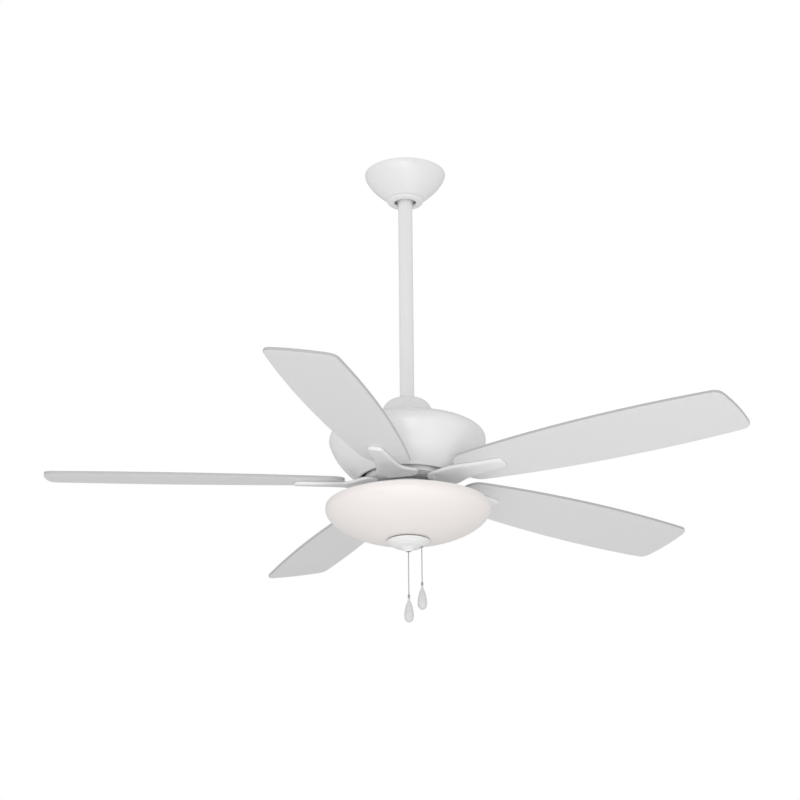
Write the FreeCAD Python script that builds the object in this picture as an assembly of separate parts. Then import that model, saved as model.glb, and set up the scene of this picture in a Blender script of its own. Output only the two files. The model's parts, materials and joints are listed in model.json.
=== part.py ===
import FreeCAD, Part
import math
import os

# Ceiling fan with light: five blades on a downrod, a bowl light kit and two pull chains.
# Millimetres. The origin is the centre of the ceiling face, +Z is up and the fan hangs down.
# Radii are written _r, heights above the origin _z, and both are set here once.

# pipe of the downrod, which the ball joint and the canopy are sized around
rod_r = 13.335
rod_wall = 2.87

# ceiling bracket, canopy and ball joint
ball_wall = 13.665
ball_r = rod_r + ball_wall
ball_top_cut = 20.0
seat_clearance = 0.3
seat_wall = 3.5
seat_bore_r = rod_r + 6.165
seat_height = 12.0
seat_r = ball_r + seat_wall
canopy_r = 76.5
canopy_height = 2 * ball_r - 1.0
canopy_neck_r = seat_r + 2.5
canopy_flare = 1.6
canopy_wall = 1.2
ball_z = ball_r - canopy_height - 5.0
box_screw_spacing = 88.9
box_slot_length = 14.0
box_slot_width = 5.5
plate_length = 112.0
plate_width = 38.0
plate_thickness = 2.5
plate_corner = 6.0
leg_thickness = 2.5
leg_width = 24.0
wire_hole_r = 6.0
wire_hole_place = (0.0, 11.5)
ground_screw_r = 2.0
ground_screw_place = (-20.0, 12.0)
canopy_screw_r = 1.7
canopy_screw_head_r = 3.4
canopy_screw_head = 2.0
canopy_screw_depth = 6.5
canopy_screw_circle_r = seat_r - 4.5
flange_z = -canopy_height - canopy_wall
ring_r = canopy_neck_r + 1.5
ring_height = 6.0
ring_wall = 1.5
splice_r = 5.5
splice_length = 20.0
splice_z = -14.0
splice_y = ball_r + 13.0
splice_places = ((-16.0, splice_y), (0.0, splice_y + 3.0), (16.0, splice_y))
supply_wire_r = 1.3

# downrod and its fastenings
rod_length = 457.2
rod_top_z = ball_z + 11.0
rod_bottom_z = rod_top_z - rod_length
rod_fit = 0.04
rod_entry_width = 2 * rod_r + 2.33
ring_hole_r = rod_r + 7.165
pin_r = 3.0
pin_fit = 0.03
cross_pin_z = rod_top_z - 7.0
cross_pin_length = 44.0
clevis_pin_z = rod_bottom_z + 8.0
clip_wire_r = 0.8
set_screw_r = 2.5
set_screw_socket_r = 1.2
ball_set_screw_z = ball_z - 2.0
yoke_set_screw_z = clevis_pin_z + 4.0

# motor shaft and the coupler that hangs it from the downrod
shaft_r = 8.5
shaft_bore_r = 5.0
shaft_top_z = rod_bottom_z - 6.0
coupler_r = rod_r + 5.665
coupler_top_z = rod_bottom_z + 15.7
coupler_flange_r = coupler_r + 15.0
coupler_flange_z = coupler_top_z - 41.5
coupler_flange_thickness = 5.0
coupler_boss_r = shaft_r + 5.5
coupler_boss_drop = 10.0
hanger_screw_r = 2.5
hanger_screw_circle_r = coupler_r + 8.0
hanger_screw_count = 3

# coupling cover and motor housing
cover_top_r = coupler_r + 3.0
cover_top_z = coupler_top_z + 2.5
cover_corner = 23.5
cover_sweep = 64.8
cover_base_r = cover_top_r + 35.0
cover_wall = 1.2
cover_rod_gap = 0.9
cover_seat_gap = 1.0
housing_r = 143.7
housing_top_z = coupler_flange_z
housing_waist_z = housing_top_z - 34.0
housing_shoulder = 2.31
housing_bottom_r = 92.0
housing_bottom_z = housing_top_z - 110.0
housing_bulge = 10.3
housing_wall = 1.2
housing_lip = 5.0
housing_hole_r = coupler_boss_r + 0.5
backing_r = hanger_screw_circle_r + 13.0
backing_thickness = 3.0

# motor
bearing_r = shaft_r + 11.5
bearing_width = 12.0
bearing_fit = 0.03
rotor_case_r = 80.0
rotor_case_wall = 3.0
rotor_top_z = housing_top_z - 16.0
rotor_bottom_z = housing_bottom_z - 6.0
hub_thickness = 8.0
upper_bearing_z = rotor_top_z - rotor_case_wall - bearing_width
lower_bearing_z = rotor_bottom_z + hub_thickness
stack_height = 28.0
stack_z = rotor_top_z - 44.0
stator_r = 58.0
stator_yoke_r = 26.0
air_gap = 0.6
rotor_ring_r = 74.0
stator_teeth = 12
tooth_width = 7.0
coil_depth = 3.0
case_flange = 4.0
case_screw_r = 1.6
case_screw_count = 5
case_screw_circle_r = rotor_case_r - 2.0 + case_flange

# blades and irons
blade_count = 5
first_blade_azimuth = 184.8
blade_plane_z = rotor_bottom_z + 3.0
blade_pitch = 11.8
blade_tip_r = 660.4
blade_root_r = 115.0
blade_max_width = 140.0
blade_widest_r = blade_tip_r - 180.4
blade_root_width = 86.0
blade_tip_width = 126.4
blade_tip_bow = 6.0
blade_tip_corner = 17.0
blade_root_corner = 30.0
blade_thickness = 6.4
blade_edge = 1.6
blade_sweep = 1.5
blade_offset = -4.3
iron_depth = 7.0
iron_inner_r = 54.0
iron_foot_r = 80.0
iron_foot_width = 74.0
iron_neck_r = 118.0
iron_neck_width = 46.0
iron_tip_r = 207.0
iron_tip_width = 29.0
iron_screw_r = 2.4
iron_screw_circle_r = 66.0
iron_screw_spread = 18.0
blade_screw_r = 2.2
blade_thread_r = blade_screw_r - 0.2
blade_screw_places = ((138.0, -14.0), (138.0, 14.0), (188.0, 0.0))

# switch housing
switch_cup_r = 52.0
switch_cup_top_z = rotor_bottom_z - 10.0
switch_cup_bottom_z = switch_cup_top_z - 23.0
switch_wall = 1.2
switch_floor_z = switch_cup_bottom_z + switch_wall
switch_plate_thickness = 1.5
switch_screw_r = 1.5
switch_screw_circle_r = 40.0
shaft_bottom_z = switch_cup_top_z - 6.0
shaft_play = 0.05
shaft_nut_across = 2 * shaft_r + 9.0
shaft_nut_height = 5.0
slider_length = 5.0
slider_travel = 2.5
slider_neck = 4.0
slider_z = switch_cup_top_z - 12.0
slider_way = 0.3
reverse_azimuth = 90.0

# light kit
pan_r = 140.0
pan_top_z = switch_cup_bottom_z - 1.2
pan_skirt_z = pan_top_z - 10.8
pan_wall = 1.0
pan_slope = 3.0
pan_flat_r = switch_cup_r + 8.0
bowl_r = pan_r + 10.6
bowl_rim_z = pan_skirt_z + 2.0
bowl_straight = 9.0
bowl_bottom_z = bowl_rim_z - 69.0
bowl_wall = 4.0
bowl_hole_r = 30.0
bowl_fullness = 1.75
cap_r = bowl_hole_r + 9.0
cap_bottom_z = bowl_bottom_z - 19.0
cap_floor_z = cap_bottom_z + 1.0
cap_wall = 1.2
gasket_thickness = 1.5
stem_r = 4.85
stem_bore_r = 3.2
stem_play = 0.15
stem_nut = 2.5
stem_nut_across = 18.0
stem_top_z = switch_floor_z + stem_nut
lamp_r = 24.0
lamp_offset = 58.0
lamp_shift = 4.0
lamp_places = ((lamp_shift - lamp_offset, 1), (lamp_shift + lamp_offset, -1))
lamp_axis_z = bowl_rim_z - 27.0
lamp_base_y = -62.0
socket_r = 17.0
socket_wall = 2.5
socket_length = 40.0
strap_width = 16.0
strap_thickness = 1.6
strap_foot = 14.0

# pull chains
chain_r = 1.2
chain_gap = 0.3
light_fob_drop = 86.0
speed_fob_drop = 63.0
speed_chain_x = 24.0
chain_hole_r = 4.0
fob_length = 45.0
fob_r = 8.6
ferrule_height = 6.4
pull_switch_height = 12.0
light_switch_r = 8.5
light_switch_z = stem_top_z + 0.4
speed_switch_r = 9.0

os.makedirs("parts", exist_ok=True)


def vec(x, y, z):
    return FreeCAD.Vector(x, y, z)


up = vec(0, 0, 1)
centre = vec(0, 0, 0)


def save(name, solids):
    """Write one node, as a single solid or as a group of separate ones."""
    group = solids if isinstance(solids, list) else [solids]
    shape = group[0] if len(group) == 1 else Part.makeCompound(group)
    for solid in shape.Solids:
        if not solid.isValid() or solid.Volume <= 0:
            raise ValueError(name + " holds a solid that is not sound")
    shape.exportStep("parts/" + name + ".step")


def rod_between(radius, z_low, z_high, x=0.0, y=0.0):
    return Part.makeCylinder(radius, z_high - z_low, vec(x, y, z_low))


def tube_between(outer, inner, z_low, z_high, x=0.0, y=0.0):
    return rod_between(outer, z_low, z_high, x, y).cut(rod_between(inner, z_low - 1, z_high + 1, x, y))


def box_between(low, high):
    size = high - low
    return Part.makeBox(size.x, size.y, size.z, low)


def spun(points):
    """Solid turned about Z from a closed outline of (radius, height) corners."""
    corners = [vec(r, 0, z) for r, z in points]
    face = Part.Face(Part.makePolygon(corners + corners[:1]))
    return face.revolve(centre, up, 360)


def normals(points):
    """Unit normals of a run of (radius, height) points, to the left of the run."""
    out = []
    for i in range(len(points)):
        before = points[max(i - 1, 0)]
        after = points[min(i + 1, len(points) - 1)]
        dr = after[0] - before[0]
        dz = after[1] - before[1]
        size = math.hypot(dr, dz)
        out.append((-dz / size, dr / size))
    return out


def curve_edge(points):
    curve = Part.BSplineCurve()
    curve.interpolate([vec(r, 0, z) for r, z in points])
    return curve.toShape()


def line_edge(a, b):
    return Part.makeLine(vec(a[0], 0, a[1]), vec(b[0], 0, b[1]))


def spun_wall(outer, wall):
    """Even wall turned about Z, with the run of points as its outer face and the wall to its left."""
    inner = [(p[0] + n[0] * wall, p[1] + n[1] * wall) for p, n in zip(outer, normals(outer))]
    edges = [curve_edge(outer),
             line_edge(outer[-1], inner[-1]),
             curve_edge(inner[::-1]),
             line_edge(inner[0], outer[0])]
    return Part.Face(Part.Wire(edges)).revolve(centre, up, 360)


def fuse(solids):
    return solids[0].multiFuse(solids[1:]).removeSplitter()


def cut_all(solid, tools):
    return solid.cut(Part.makeCompound(tools))


def turned(shape, angle):
    copy = shape.copy()
    copy.rotate(centre, up, angle)
    return copy


def moved(shape, x, y, z):
    copy = shape.copy()
    copy.translate(vec(x, y, z))
    return copy


def around(shape, count, start=0.0):
    return [turned(shape, start + i * 360.0 / count) for i in range(count)]


def screw(shank_r, length, head_r, head_height):
    """Screw at the origin: its head rests on z = 0 from above and its shank points down."""
    head = Part.makeCylinder(head_r, head_height)
    head = head.makeFillet(head_height * 0.45, [head.Edges[0]])
    slot = box_between(vec(-head_r, -0.5, head_height * 0.55), vec(head_r, 0.5, head_height + 1))
    return head.cut(slot).fuse(Part.makeCylinder(shank_r, length, vec(0, 0, -length))).removeSplitter()


def flipped(shape):
    copy = shape.copy()
    copy.rotate(centre, vec(1, 0, 0), 180)
    return copy


def low_rim(solid, height):
    """Edges of a solid that lie flat at one height."""
    return [e for e in solid.Edges if abs(e.BoundBox.ZMax - height) < 0.01]


def wire_tube(points, radius):
    """Round wire along straight runs, each corner eased by a tangent arc."""
    corners = [vec(*p) for p in points]
    edges = []
    start = corners[0]
    for i in range(1, len(corners) - 1):
        back = (corners[i - 1] - corners[i]).normalize()
        ahead = (corners[i + 1] - corners[i]).normalize()
        run_in = corners[i].distanceToPoint(corners[i - 1])
        run_out = corners[i].distanceToPoint(corners[i + 1])
        ease = 0.45 * min(run_in, run_out)
        a = corners[i] + back * ease
        b = corners[i] + ahead * ease
        half = back.getAngle(ahead) / 2.0
        bend_r = ease * math.tan(half)
        middle_way = (back + ahead).normalize()
        middle = corners[i] + middle_way * (bend_r / math.sin(half) - bend_r)
        edges.append(Part.LineSegment(start, a).toShape())
        edges.append(Part.Arc(a, middle, b).toShape())
        start = b
    edges.append(Part.LineSegment(start, corners[-1]).toShape())
    path = Part.Wire(edges)
    heading = (corners[1] - corners[0]).normalize()
    section = Part.Wire([Part.makeCircle(radius, corners[0], heading)])
    return path.makePipeShell([section], True, True)


# ceiling mount

def canopy_profile():
    """Bell: steep at the ceiling rim, easing in to the neck."""
    steps = 9
    points = []
    for i in range(steps):
        t = i / (steps - 1)
        points.append((canopy_r - (canopy_r - canopy_neck_r) * t ** canopy_flare, -canopy_height * t))
    return points


def canopy_screw_places():
    return ((canopy_screw_circle_r, 0.0), (-canopy_screw_circle_r, 0.0))


def hanger_bracket():
    plate = box_between(vec(-plate_length / 2, -plate_width / 2, -plate_thickness),
                        vec(plate_length / 2, plate_width / 2, 0))
    plate = plate.makeFillet(plate_corner, [e for e in plate.Edges if abs(e.tangentAt(0).z) > 0.9])
    cuts = [rod_between(wire_hole_r, -5, 1, *wire_hole_place),
            rod_between(ground_screw_r, -5, 1, *ground_screw_place)]
    half_slot = (box_slot_length - box_slot_width) / 2
    for side in (-1, 1):
        at = side * box_screw_spacing / 2
        cuts.append(box_between(vec(at - half_slot, -box_slot_width / 2, -5),
                                vec(at + half_slot, box_slot_width / 2, 1)))
        cuts.append(rod_between(box_slot_width / 2, -5, 1, at - half_slot))
        cuts.append(rod_between(box_slot_width / 2, -5, 1, at + half_slot))
    seat = rod_between(seat_r, -canopy_height, -canopy_height + seat_height)
    legs = []
    for side in (0, 180):
        leg = box_between(vec(seat_r - 1.0, -leg_width / 2, -canopy_height + seat_height / 2),
                          vec(seat_r - 1.0 + leg_thickness, leg_width / 2, -plate_thickness))
        legs.append(turned(leg, side))
    cuts.append(Part.makeSphere(ball_r + seat_clearance, vec(0, 0, ball_z)))
    cuts.append(rod_between(seat_bore_r, -canopy_height - 1, ball_z))
    cuts.append(box_between(vec(-rod_entry_width / 2, 0, -canopy_height - 1),
                            vec(rod_entry_width / 2, seat_r + 1, ball_z)))
    thread_top = canopy_screw_depth + 0.5 - canopy_height
    for x, y in canopy_screw_places():
        cuts.append(rod_between(canopy_screw_r, -canopy_height - 1, thread_top, x, y))
    return cut_all(fuse([plate, seat] + legs), cuts)


def canopy():
    bell = spun_wall(canopy_profile(), -canopy_wall)
    flange = tube_between(canopy_neck_r, ring_hole_r + ring_wall, flange_z, -canopy_height)
    holes = [rod_between(canopy_screw_r + 0.3, -canopy_height - 5, -canopy_height + 5, x, y)
             for x, y in canopy_screw_places()]
    above_ceiling = rod_between(canopy_r + 5, 0, 5)
    return cut_all(bell.fuse(flange), holes + [above_ceiling])


def canopy_ring():
    """Rounded trim ring under the canopy, hollow over the screw heads."""
    top = flange_z
    low = top - ring_height
    outer = Part.makeCylinder(ring_r, ring_height, vec(0, 0, low))
    rounded = outer.makeFillet(ring_height * 0.7, low_rim(outer, low))
    floor = low + ring_height * 0.4
    channel = tube_between(ring_r - ring_wall, ring_hole_r + ring_wall, floor, top + 1)
    channel = channel.makeFillet(ring_wall, low_rim(channel, floor))
    return cut_all(rounded, [channel, rod_between(ring_hole_r, low - 1, top + 1)])


def canopy_screws():
    one = flipped(screw(canopy_screw_r - pin_fit, canopy_screw_depth + canopy_wall, canopy_screw_head_r,
                        canopy_screw_head))
    return [moved(one, x, y, flange_z) for x, y in canopy_screw_places()]


def ground_screw():
    one = flipped(screw(ground_screw_r - pin_fit, plate_thickness, 4.0, 2.5))
    return moved(one, *ground_screw_place, -plate_thickness)


def splice_connectors():
    """Twist-on wire connectors, lying in the canopy beside the ball."""
    shell = spun([(0, 0), (splice_r, 0), (splice_r, splice_length * 0.35),
                  (splice_r * 0.62, splice_length * 0.95), (0, splice_length)])
    nuts = []
    for x, y in splice_places:
        nut = shell.copy()
        nut.rotate(centre, vec(1, 0, 0), -90)
        nuts.append(moved(nut, x, y - splice_length / 2, splice_z))
    return nuts


def supply_wires():
    """Leads from the ceiling box's hole down to each connector."""
    wires = []
    hole_y = wire_hole_place[1]
    for x, y in splice_places:
        route = [(x * 0.2, hole_y, -0.6), (x * 0.2, hole_y + 1.0, -5.5), (x * 0.7, hole_y + 8.5, -9.0),
                 (x, y - splice_length / 2, splice_z)]
        wires.append(wire_tube(route, supply_wire_r))
    return wires


# ball and downrod

def hanger_ball():
    ball = Part.makeSphere(ball_r, vec(0, 0, ball_z))
    keep = rod_between(ball_r + 1, ball_z - ball_r, ball_z + ball_top_cut)
    bore = rod_between(rod_r + rod_fit, ball_z - ball_r - 1, rod_top_z)
    wire_way = rod_between(rod_r - rod_wall, rod_top_z - 1, ball_z + ball_r)
    slot = box_between(vec(-ball_r, -pin_r - pin_fit, cross_pin_z),
                       vec(ball_r, pin_r + pin_fit, ball_z + ball_r))
    slot_end = x_cylinder(pin_r + pin_fit, 2 * ball_r, cross_pin_z)
    tapped = y_hole(set_screw_r, ball_set_screw_z, -ball_r - 1)
    return cut_all(ball.common(keep), [bore, wire_way, slot, slot_end, tapped])


def x_cylinder(radius, length, z):
    return Part.makeCylinder(radius, length, vec(-length / 2, 0, z), vec(1, 0, 0))


def y_hole(radius, z, y_start):
    return Part.makeCylinder(radius, abs(y_start), vec(0, y_start, z), vec(0, 1, 0))


def cross_pin():
    return x_cylinder(pin_r, cross_pin_length, cross_pin_z)


def set_screw(y_end, z):
    """Headless screw along Y that bears on the downrod, with a socket in its outer end."""
    body = Part.makeCylinder(set_screw_r - pin_fit, y_end - rod_r, vec(0, -y_end, z), vec(0, 1, 0))
    socket = Part.makeCylinder(set_screw_socket_r, set_screw_r, vec(0, -y_end, z), vec(0, 1, 0))
    return body.cut(socket)


def ball_set_screw():
    return set_screw(math.sqrt(ball_r ** 2 - (ball_z - ball_set_screw_z) ** 2) - 1.0, ball_set_screw_z)


def downrod():
    pipe = tube_between(rod_r, rod_r - rod_wall, rod_bottom_z, rod_top_z)
    holes = [x_cylinder(pin_r + pin_fit, 4 * rod_r, z) for z in (cross_pin_z, clevis_pin_z)]
    return cut_all(pipe, holes)


# motor hanger and covers

def motor_coupler():
    """Casting that joins the downrod to the motor's fixed shaft."""
    flange_top = coupler_flange_z + coupler_flange_thickness
    low = coupler_flange_z - coupler_boss_drop
    body = spun([(0, low),
                 (coupler_boss_r, low),
                 (coupler_boss_r, coupler_flange_z),
                 (coupler_flange_r, coupler_flange_z),
                 (coupler_flange_r, flange_top),
                 (coupler_r + 3, flange_top),
                 (coupler_r, flange_top + 3),
                 (coupler_r, coupler_top_z),
                 (0, coupler_top_z)])
    cuts = [rod_between(rod_r + rod_fit, rod_bottom_z, coupler_top_z + 1),
            rod_between(shaft_r + rod_fit, low - 1, shaft_top_z),
            rod_between(shaft_bore_r, shaft_top_z - 1, rod_bottom_z + 1),
            x_cylinder(pin_r + pin_fit, 4 * coupler_r, clevis_pin_z),
            y_hole(set_screw_r, yoke_set_screw_z, -coupler_r - 5),
            turned(y_hole(set_screw_r, yoke_set_screw_z, -coupler_r - 5), 180)]
    return cut_all(body, cuts + hanger_holes(hanger_screw_r))


def hanger_holes(radius):
    """Cutters for the screws through the coupler's flange, the housing and its backing plate."""
    hole = rod_between(radius, coupler_flange_z - 20, coupler_flange_z + 20, hanger_screw_circle_r)
    return around(hole, hanger_screw_count, 30)


def yoke_set_screws():
    one = set_screw(coupler_r + 2, yoke_set_screw_z)
    return [one, turned(one, 180)]


def clevis_pin():
    """Headed pin through the coupler and the downrod, with a hole for its clip."""
    length = 2 * coupler_r + 8
    pin = Part.makeCylinder(pin_r, length, vec(-coupler_r, 0, clevis_pin_z), vec(1, 0, 0))
    head = Part.makeCylinder(pin_r + 1.8, 2, vec(-coupler_r - 2, 0, clevis_pin_z), vec(1, 0, 0))
    clip_hole = Part.makeCylinder(clip_wire_r + 0.1, 20, vec(coupler_r + 4, -10, clevis_pin_z), vec(0, 1, 0))
    return pin.fuse(head).removeSplitter().cut(clip_hole)


def pin_clip():
    """Hairpin clip: one straight leg through the pin and a bowed leg over it."""
    x = coupler_r + 4
    z = clevis_pin_z
    route = [(x, -8, z), (x, 12, z), (x + 2.3, 16, z), (x + 5.8, 12, z), (x + 4.2, 6, z), (x + 6.0, 0, z),
             (x + 4.2, -6, z)]
    return wire_tube(route, clip_wire_r)


def cover_profile():
    """Outer face from the flat top ring round the corner and out along the skirt."""
    points = []
    steps = 8
    for i in range(steps):
        a = math.radians(cover_sweep * i / (steps - 1))
        drop = cover_corner * (1 - math.cos(a))
        points.append((cover_top_r + cover_corner * math.sin(a), cover_top_z - drop))
    end = points[-1]
    low = housing_crown_z(cover_base_r) + cover_seat_gap
    for t in (0.35, 0.7, 1.0):
        points.append((end[0] + (cover_base_r - end[0]) * t, end[1] + (low - end[1]) * t))
    return points


def coupling_cover():
    dome = spun_wall(cover_profile(), -cover_wall)
    cap = tube_between(cover_top_r, rod_r + cover_rod_gap, cover_top_z - cover_wall, cover_top_z)
    return dome.fuse(cap)


def housing_crown_z(radius):
    """Height of the housing's top face at a radius."""
    share = 1 - (radius / housing_r) ** housing_shoulder
    return housing_waist_z + (housing_top_z - housing_waist_z) * share ** (1 / housing_shoulder)


def housing_profile():
    """Crown as a superellipse to the widest ring, then a bowed taper down to the lip."""
    points = []
    crown_steps = 9
    crown = housing_top_z - housing_waist_z
    for i in range(crown_steps):
        a = math.radians(90.0 * i / crown_steps)
        radius = housing_r * math.sin(a) ** (2 / housing_shoulder)
        height = housing_waist_z + crown * math.cos(a) ** (2 / housing_shoulder)
        if radius > housing_hole_r:
            points.append((radius, height))
    points.insert(0, (housing_hole_r, housing_crown_z(housing_hole_r)))
    side_steps = 7
    for i in range(side_steps):
        t = i / (side_steps - 1)
        radius = housing_r + (housing_bottom_r - housing_r) * t + 4 * housing_bulge * t * (1 - t)
        points.append((radius, housing_waist_z + (housing_bottom_z - housing_waist_z) * t))
    return points


def motor_housing():
    shell = spun_wall(housing_profile(), -housing_wall)
    lip = tube_between(housing_bottom_r, housing_bottom_r - housing_lip, housing_bottom_z,
                       housing_bottom_z + housing_wall)
    return cut_all(shell.fuse(lip), hanger_holes(hanger_screw_r + 0.3))


def backing_plate():
    """Ring inside the housing's crown that the hanger screws are tapped into."""
    top = housing_crown_z(backing_r) - housing_wall - 0.2
    ring = tube_between(backing_r, housing_hole_r, top - backing_thickness, top)
    return cut_all(ring, hanger_holes(hanger_screw_r))


def hanger_screws():
    top = coupler_flange_z + coupler_flange_thickness
    one = screw(hanger_screw_r - pin_fit, coupler_flange_thickness + 6.0, 3.8, 2.5)
    return around(moved(one, hanger_screw_circle_r, 0, top), hanger_screw_count, 30)


# motor

def motor_shaft():
    bolt_end = tube_between(shaft_r, shaft_bore_r, shaft_bottom_z, shaft_top_z)
    window = box_between(vec(0, -4, switch_cup_top_z - 9), vec(shaft_r + 1, 4, switch_cup_top_z - 5))
    return bolt_end.cut(window)


def ball_bearing(z_low):
    """Sealed ball bearing as one ring: both races and the shield between them."""
    body = tube_between(bearing_r, shaft_r + bearing_fit, z_low, z_low + bearing_width)
    shield = tube_between(bearing_r - 3, shaft_r + 3, z_low - 1, z_low + 0.8)
    return cut_all(body, [shield, moved(shield, 0, 0, bearing_width - 0.8 + 1)])


def stator_core():
    low = stack_z - stack_height / 2
    high = stack_z + stack_height / 2
    yoke = rod_between(stator_yoke_r, low, high)
    tooth = box_between(vec(stator_yoke_r - 2, -tooth_width / 2, low),
                        vec(stator_r - 2, tooth_width / 2, high))
    shoe_ring = tube_between(stator_r, stator_r - 4, low, high)
    gaps = box_between(vec(stator_r - 6, -1.6, low - 1), vec(stator_r + 1, 1.6, high + 1))
    core = fuse([yoke, shoe_ring] + around(tooth, stator_teeth))
    shaft_hole = rod_between(shaft_r, low - 1, high + 1)
    return cut_all(core, around(gaps, stator_teeth, 180.0 / stator_teeth) + [shaft_hole])


def stator_windings():
    """One flat coil round each tooth."""
    grow = coil_depth
    low = stack_z - stack_height / 2 - 0.5
    high = stack_z + stack_height / 2 + 0.5
    inner_r = stator_yoke_r + 3.5
    outer_r = stator_r - 6.0
    half = tooth_width / 2 + 0.4
    block = box_between(vec(inner_r, -half - grow, low - grow), vec(outer_r, half + grow, high + grow))
    block = block.makeFillet(grow * 0.8, [e for e in block.Edges if abs(e.tangentAt(0).x) > 0.9])
    window = box_between(vec(inner_r - 1, -half, low), vec(outer_r + 1, half, high))
    divider = box_between(vec(0, -0.4, stack_z - stack_height), vec(outer_r + 2, 0.4, stack_z + stack_height))
    dividers = [turned(divider, way * 180.0 / stator_teeth) for way in (-1, 1)]
    return around(cut_all(block, [window] + dividers), stator_teeth)


def rotor_ring():
    low = stack_z - stack_height / 2
    return tube_between(rotor_ring_r, stator_r + air_gap, low, low + stack_height)


def case_screw_holes():
    hole = rod_between(case_screw_r, stack_z - 12, stack_z + 12, case_screw_circle_r)
    return around(hole, case_screw_count, 36)


def rotor_upper_case():
    """Upper half of the motor's turning shell, with the upper bearing's pocket."""
    wall = rotor_case_wall
    inner = rotor_ring_r
    rim = rotor_case_r + case_flange + 2
    low = stack_z
    under_top = rotor_top_z - wall
    body = spun([(shaft_r + 2, rotor_top_z),
                 (rotor_case_r - 12, rotor_top_z),
                 (inner + wall, rotor_top_z - 12),
                 (inner + wall, low + wall),
                 (rim, low + wall),
                 (rim, low),
                 (inner, low),
                 (inner, rotor_top_z - 13),
                 (rotor_case_r - 14, under_top),
                 (bearing_r + wall, under_top),
                 (bearing_r + wall, upper_bearing_z),
                 (bearing_r, upper_bearing_z),
                 (bearing_r, under_top),
                 (shaft_r + 2, under_top)])
    return cut_all(body, case_screw_holes())


def rotor_lower_case():
    """Lower half of the turning shell, thick below where the blade irons are screwed on."""
    wall = rotor_case_wall
    inner = rotor_ring_r
    rim = rotor_case_r + case_flange + 2
    high = stack_z
    hub_top = rotor_bottom_z + hub_thickness
    pocket_top = lower_bearing_z + bearing_width
    body = spun([(bearing_r - 6, rotor_bottom_z),
                 (rotor_case_r, rotor_bottom_z),
                 (rotor_case_r, hub_top),
                 (inner + wall, hub_top + 5),
                 (inner + wall, high - wall),
                 (rim, high - wall),
                 (rim, high),
                 (inner, high),
                 (inner, hub_top),
                 (bearing_r + wall, hub_top),
                 (bearing_r + wall, pocket_top),
                 (bearing_r, pocket_top),
                 (bearing_r, hub_top),
                 (bearing_r - 6, hub_top)])
    return cut_all(body, case_screw_holes() + iron_screw_holes())


def case_screws():
    one = moved(screw(case_screw_r - pin_fit, 2 * rotor_case_wall, 3.0, 1.8), case_screw_circle_r, 0,
                stack_z + rotor_case_wall)
    return around(one, case_screw_count, 36)


# blades and irons

def blade_azimuth(index):
    return first_blade_azimuth + index * 360.0 / blade_count


def blade_frame(shape, index):
    """Pitch a piece laid out along +X, then place it at its blade's azimuth."""
    copy = shape.copy()
    copy.rotate(centre, vec(1, 0, 0), -blade_pitch)
    copy.translate(vec(0, 0, blade_plane_z))
    return turned(copy, blade_azimuth(index))


def swept(shape):
    """Set a piece on the blade's own centreline, which trails the radius a little."""
    copy = shape.copy()
    copy.rotate(centre, up, -blade_sweep)
    copy.translate(vec(0, blade_offset, 0))
    return copy


def uprights(board):
    """Corner edges that run through a board's thickness."""
    return [e for e in board.Edges if len(e.Vertexes) == 2 and abs(e.tangentAt(e.FirstParameter).z) > 0.9]


def blade_blank():
    """Flat board: two long arcs for its edges, a bowed tip and a square root, corners rounded."""
    low = -blade_thickness / 2
    root = blade_root_width / 2
    tip = blade_tip_width / 2
    middle = blade_max_width / 2
    shoulder_r = blade_tip_r - blade_tip_bow
    sides = []
    for side in (1, -1):
        sides.append(Part.Arc(vec(blade_root_r, side * root, low), vec(blade_widest_r, side * middle, low),
                              vec(shoulder_r, side * tip, low)).toShape())
    end = Part.Arc(vec(shoulder_r, tip, low), vec(blade_tip_r, 0, low), vec(shoulder_r, -tip, low)).toShape()
    start = Part.makeLine(vec(blade_root_r, -root, low), vec(blade_root_r, root, low))
    outline = Part.Wire([sides[0], end, sides[1], start])
    board = Part.Face(outline).extrude(vec(0, 0, blade_thickness))
    tips = [e for e in uprights(board) if e.Vertexes[0].X > blade_widest_r]
    board = board.makeFillet(blade_tip_corner, tips)
    roots = [e for e in uprights(board) if e.Vertexes[0].X < blade_root_r + 1]
    board = board.makeFillet(blade_root_corner, roots)
    rims = [e for e in board.Edges if abs(e.BoundBox.ZMax - e.BoundBox.ZMin) < 0.001]
    return board.makeFillet(blade_edge, rims)


def blade_screw_holes(radius, low, high):
    return [rod_between(radius, low, high, x, y) for x, y in blade_screw_places]


def blade():
    return swept(cut_all(blade_blank(), blade_screw_holes(blade_screw_r, -10, 10)))


def pitched_point(x, y, z, pitch):
    a = math.radians(pitch)
    return vec(x, y * math.cos(a) + z * math.sin(a), -y * math.sin(a) + z * math.cos(a))


def iron_section(x, width, middle, top, pitch, depth):
    """Rounded rectangle across the arm at one radius, turned by its pitch."""
    half = width / 2
    ease = 2.0
    left = middle - half
    right = middle + half
    low = top - depth
    outline = ((left, top - ease), (left + ease, top), (right - ease, top), (right, top - ease),
               (right, low + ease), (right - ease, low), (left + ease, low), (left, low + ease))
    corners = [pitched_point(x, y, z, pitch) for y, z in outline]
    return Part.makePolygon(corners + corners[:1])


def blade_line(x):
    """Offset of the blade's centreline from the radius at x."""
    return blade_offset - x * math.tan(math.radians(blade_sweep))


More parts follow.
